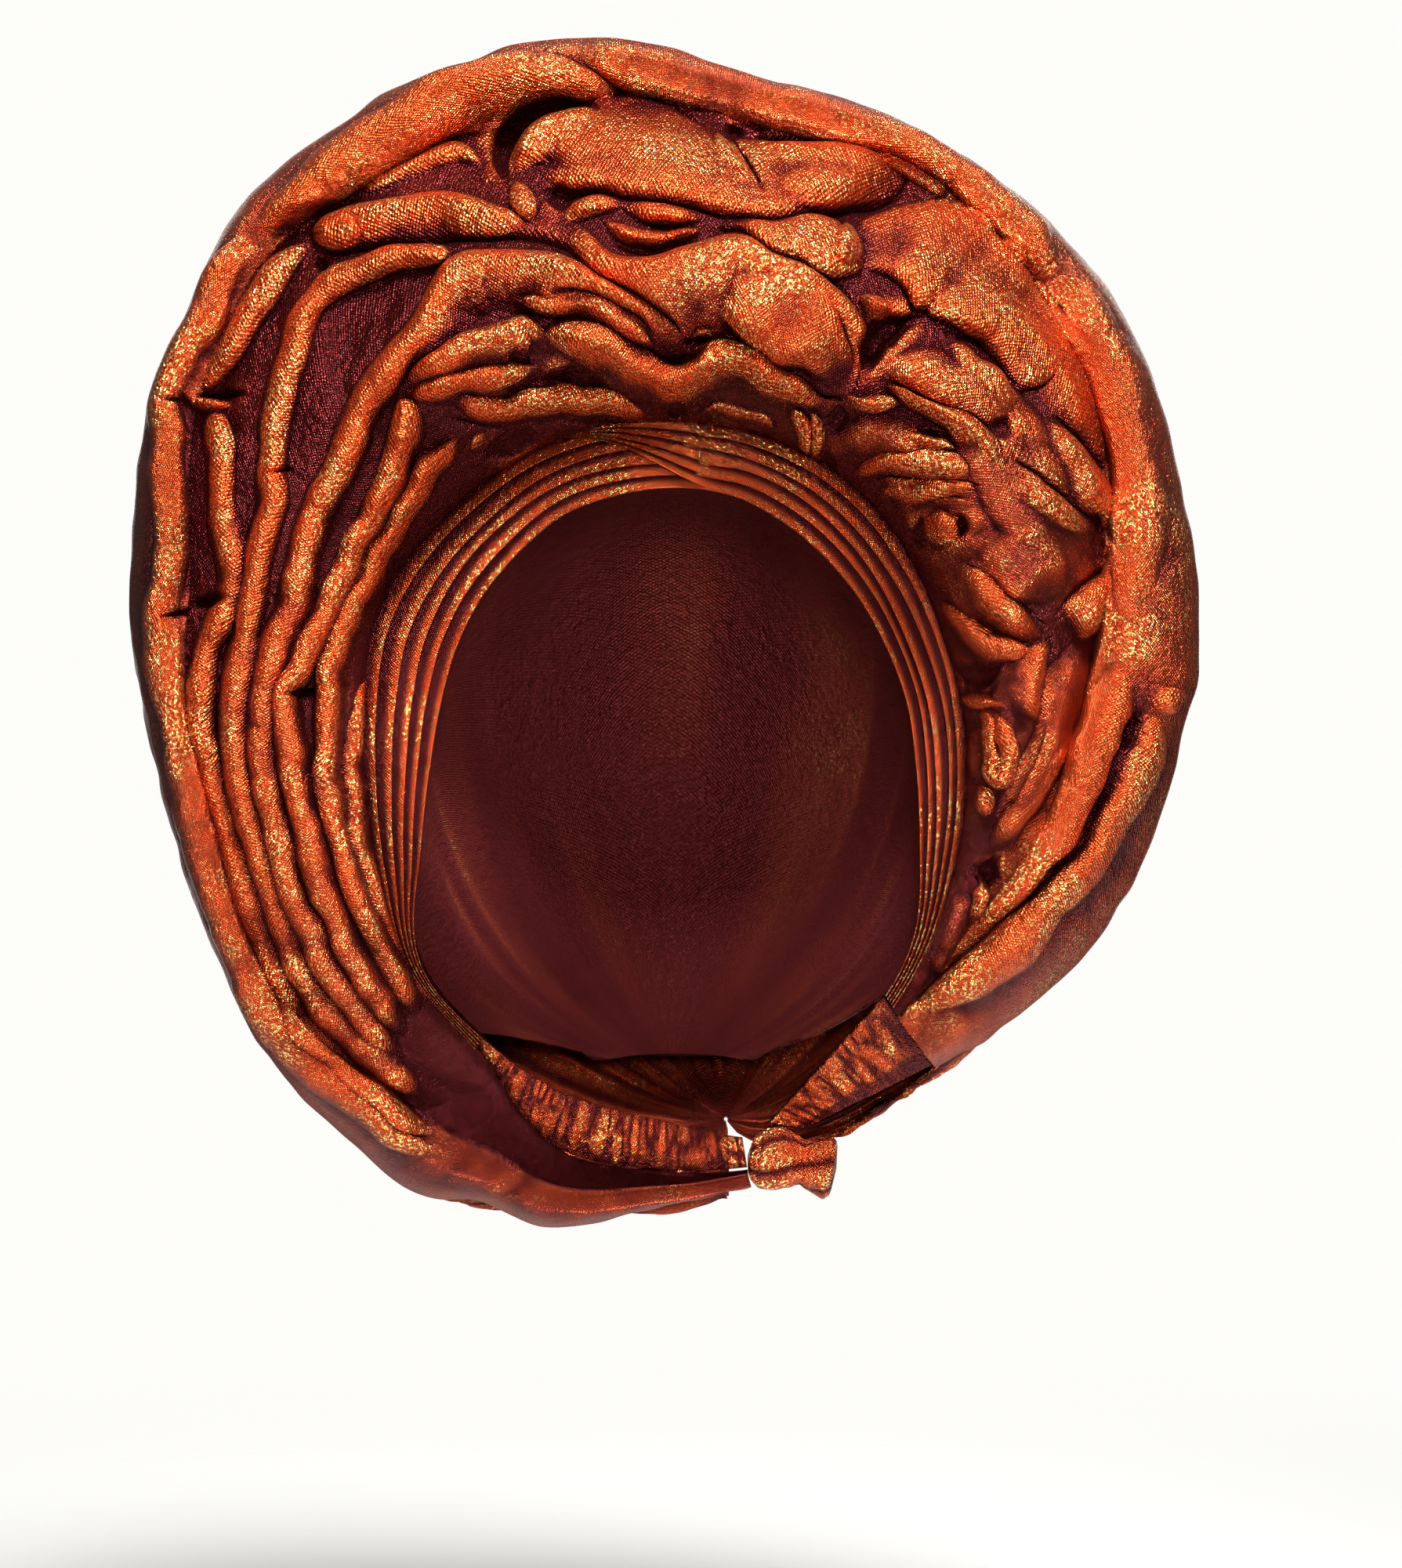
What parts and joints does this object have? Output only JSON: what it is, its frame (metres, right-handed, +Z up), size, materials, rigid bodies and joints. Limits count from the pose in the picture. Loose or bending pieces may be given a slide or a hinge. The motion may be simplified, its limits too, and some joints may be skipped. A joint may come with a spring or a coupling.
{
  "type": "tied gele head tie",
  "caption": "Ready-tied gele head tie: knife-pleated band round the face, tall ruffled halo with a pleated fan, rolled brim, crown wrap, pleated back, ties and a nape knot.",
  "frame": {"origin": "top of the wearer's head inside the crown, where the head tie sits", "axes": "+Z up, -Y out of the face opening, +X towards the wearer's left, the right-hand side of the picture"},
  "size_m": [0.3471, 0.1858, 0.3911],
  "materials": {
    "halo_cloth": "copper-orange metallic brocade, crumpled, with bright thread glints",
    "band_cloth": "copper-orange metallic brocade in pressed knife pleats",
    "crown_cloth": "copper-orange metallic brocade, smooth",
    "back_cloth": "copper-orange metallic brocade, softly pleated",
    "tie_cloth": "copper-orange metallic brocade, tightly crinkled"
  },
  "bodies": {
    "root": {"left_brow_wrap": "band_cloth", "right_brow_wrap": "band_cloth", "crown_wrap": "crown_cloth", "pleated_fan": "halo_cloth", "top_ruffle": "halo_cloth", "side_ruffle": "halo_cloth", "outer_brim": "halo_cloth", "back_drape": "back_cloth", "left_tie": "tie_cloth", "right_tie": "tie_cloth", "nape_knot": "tie_cloth"}
  },
  "joints": []
}
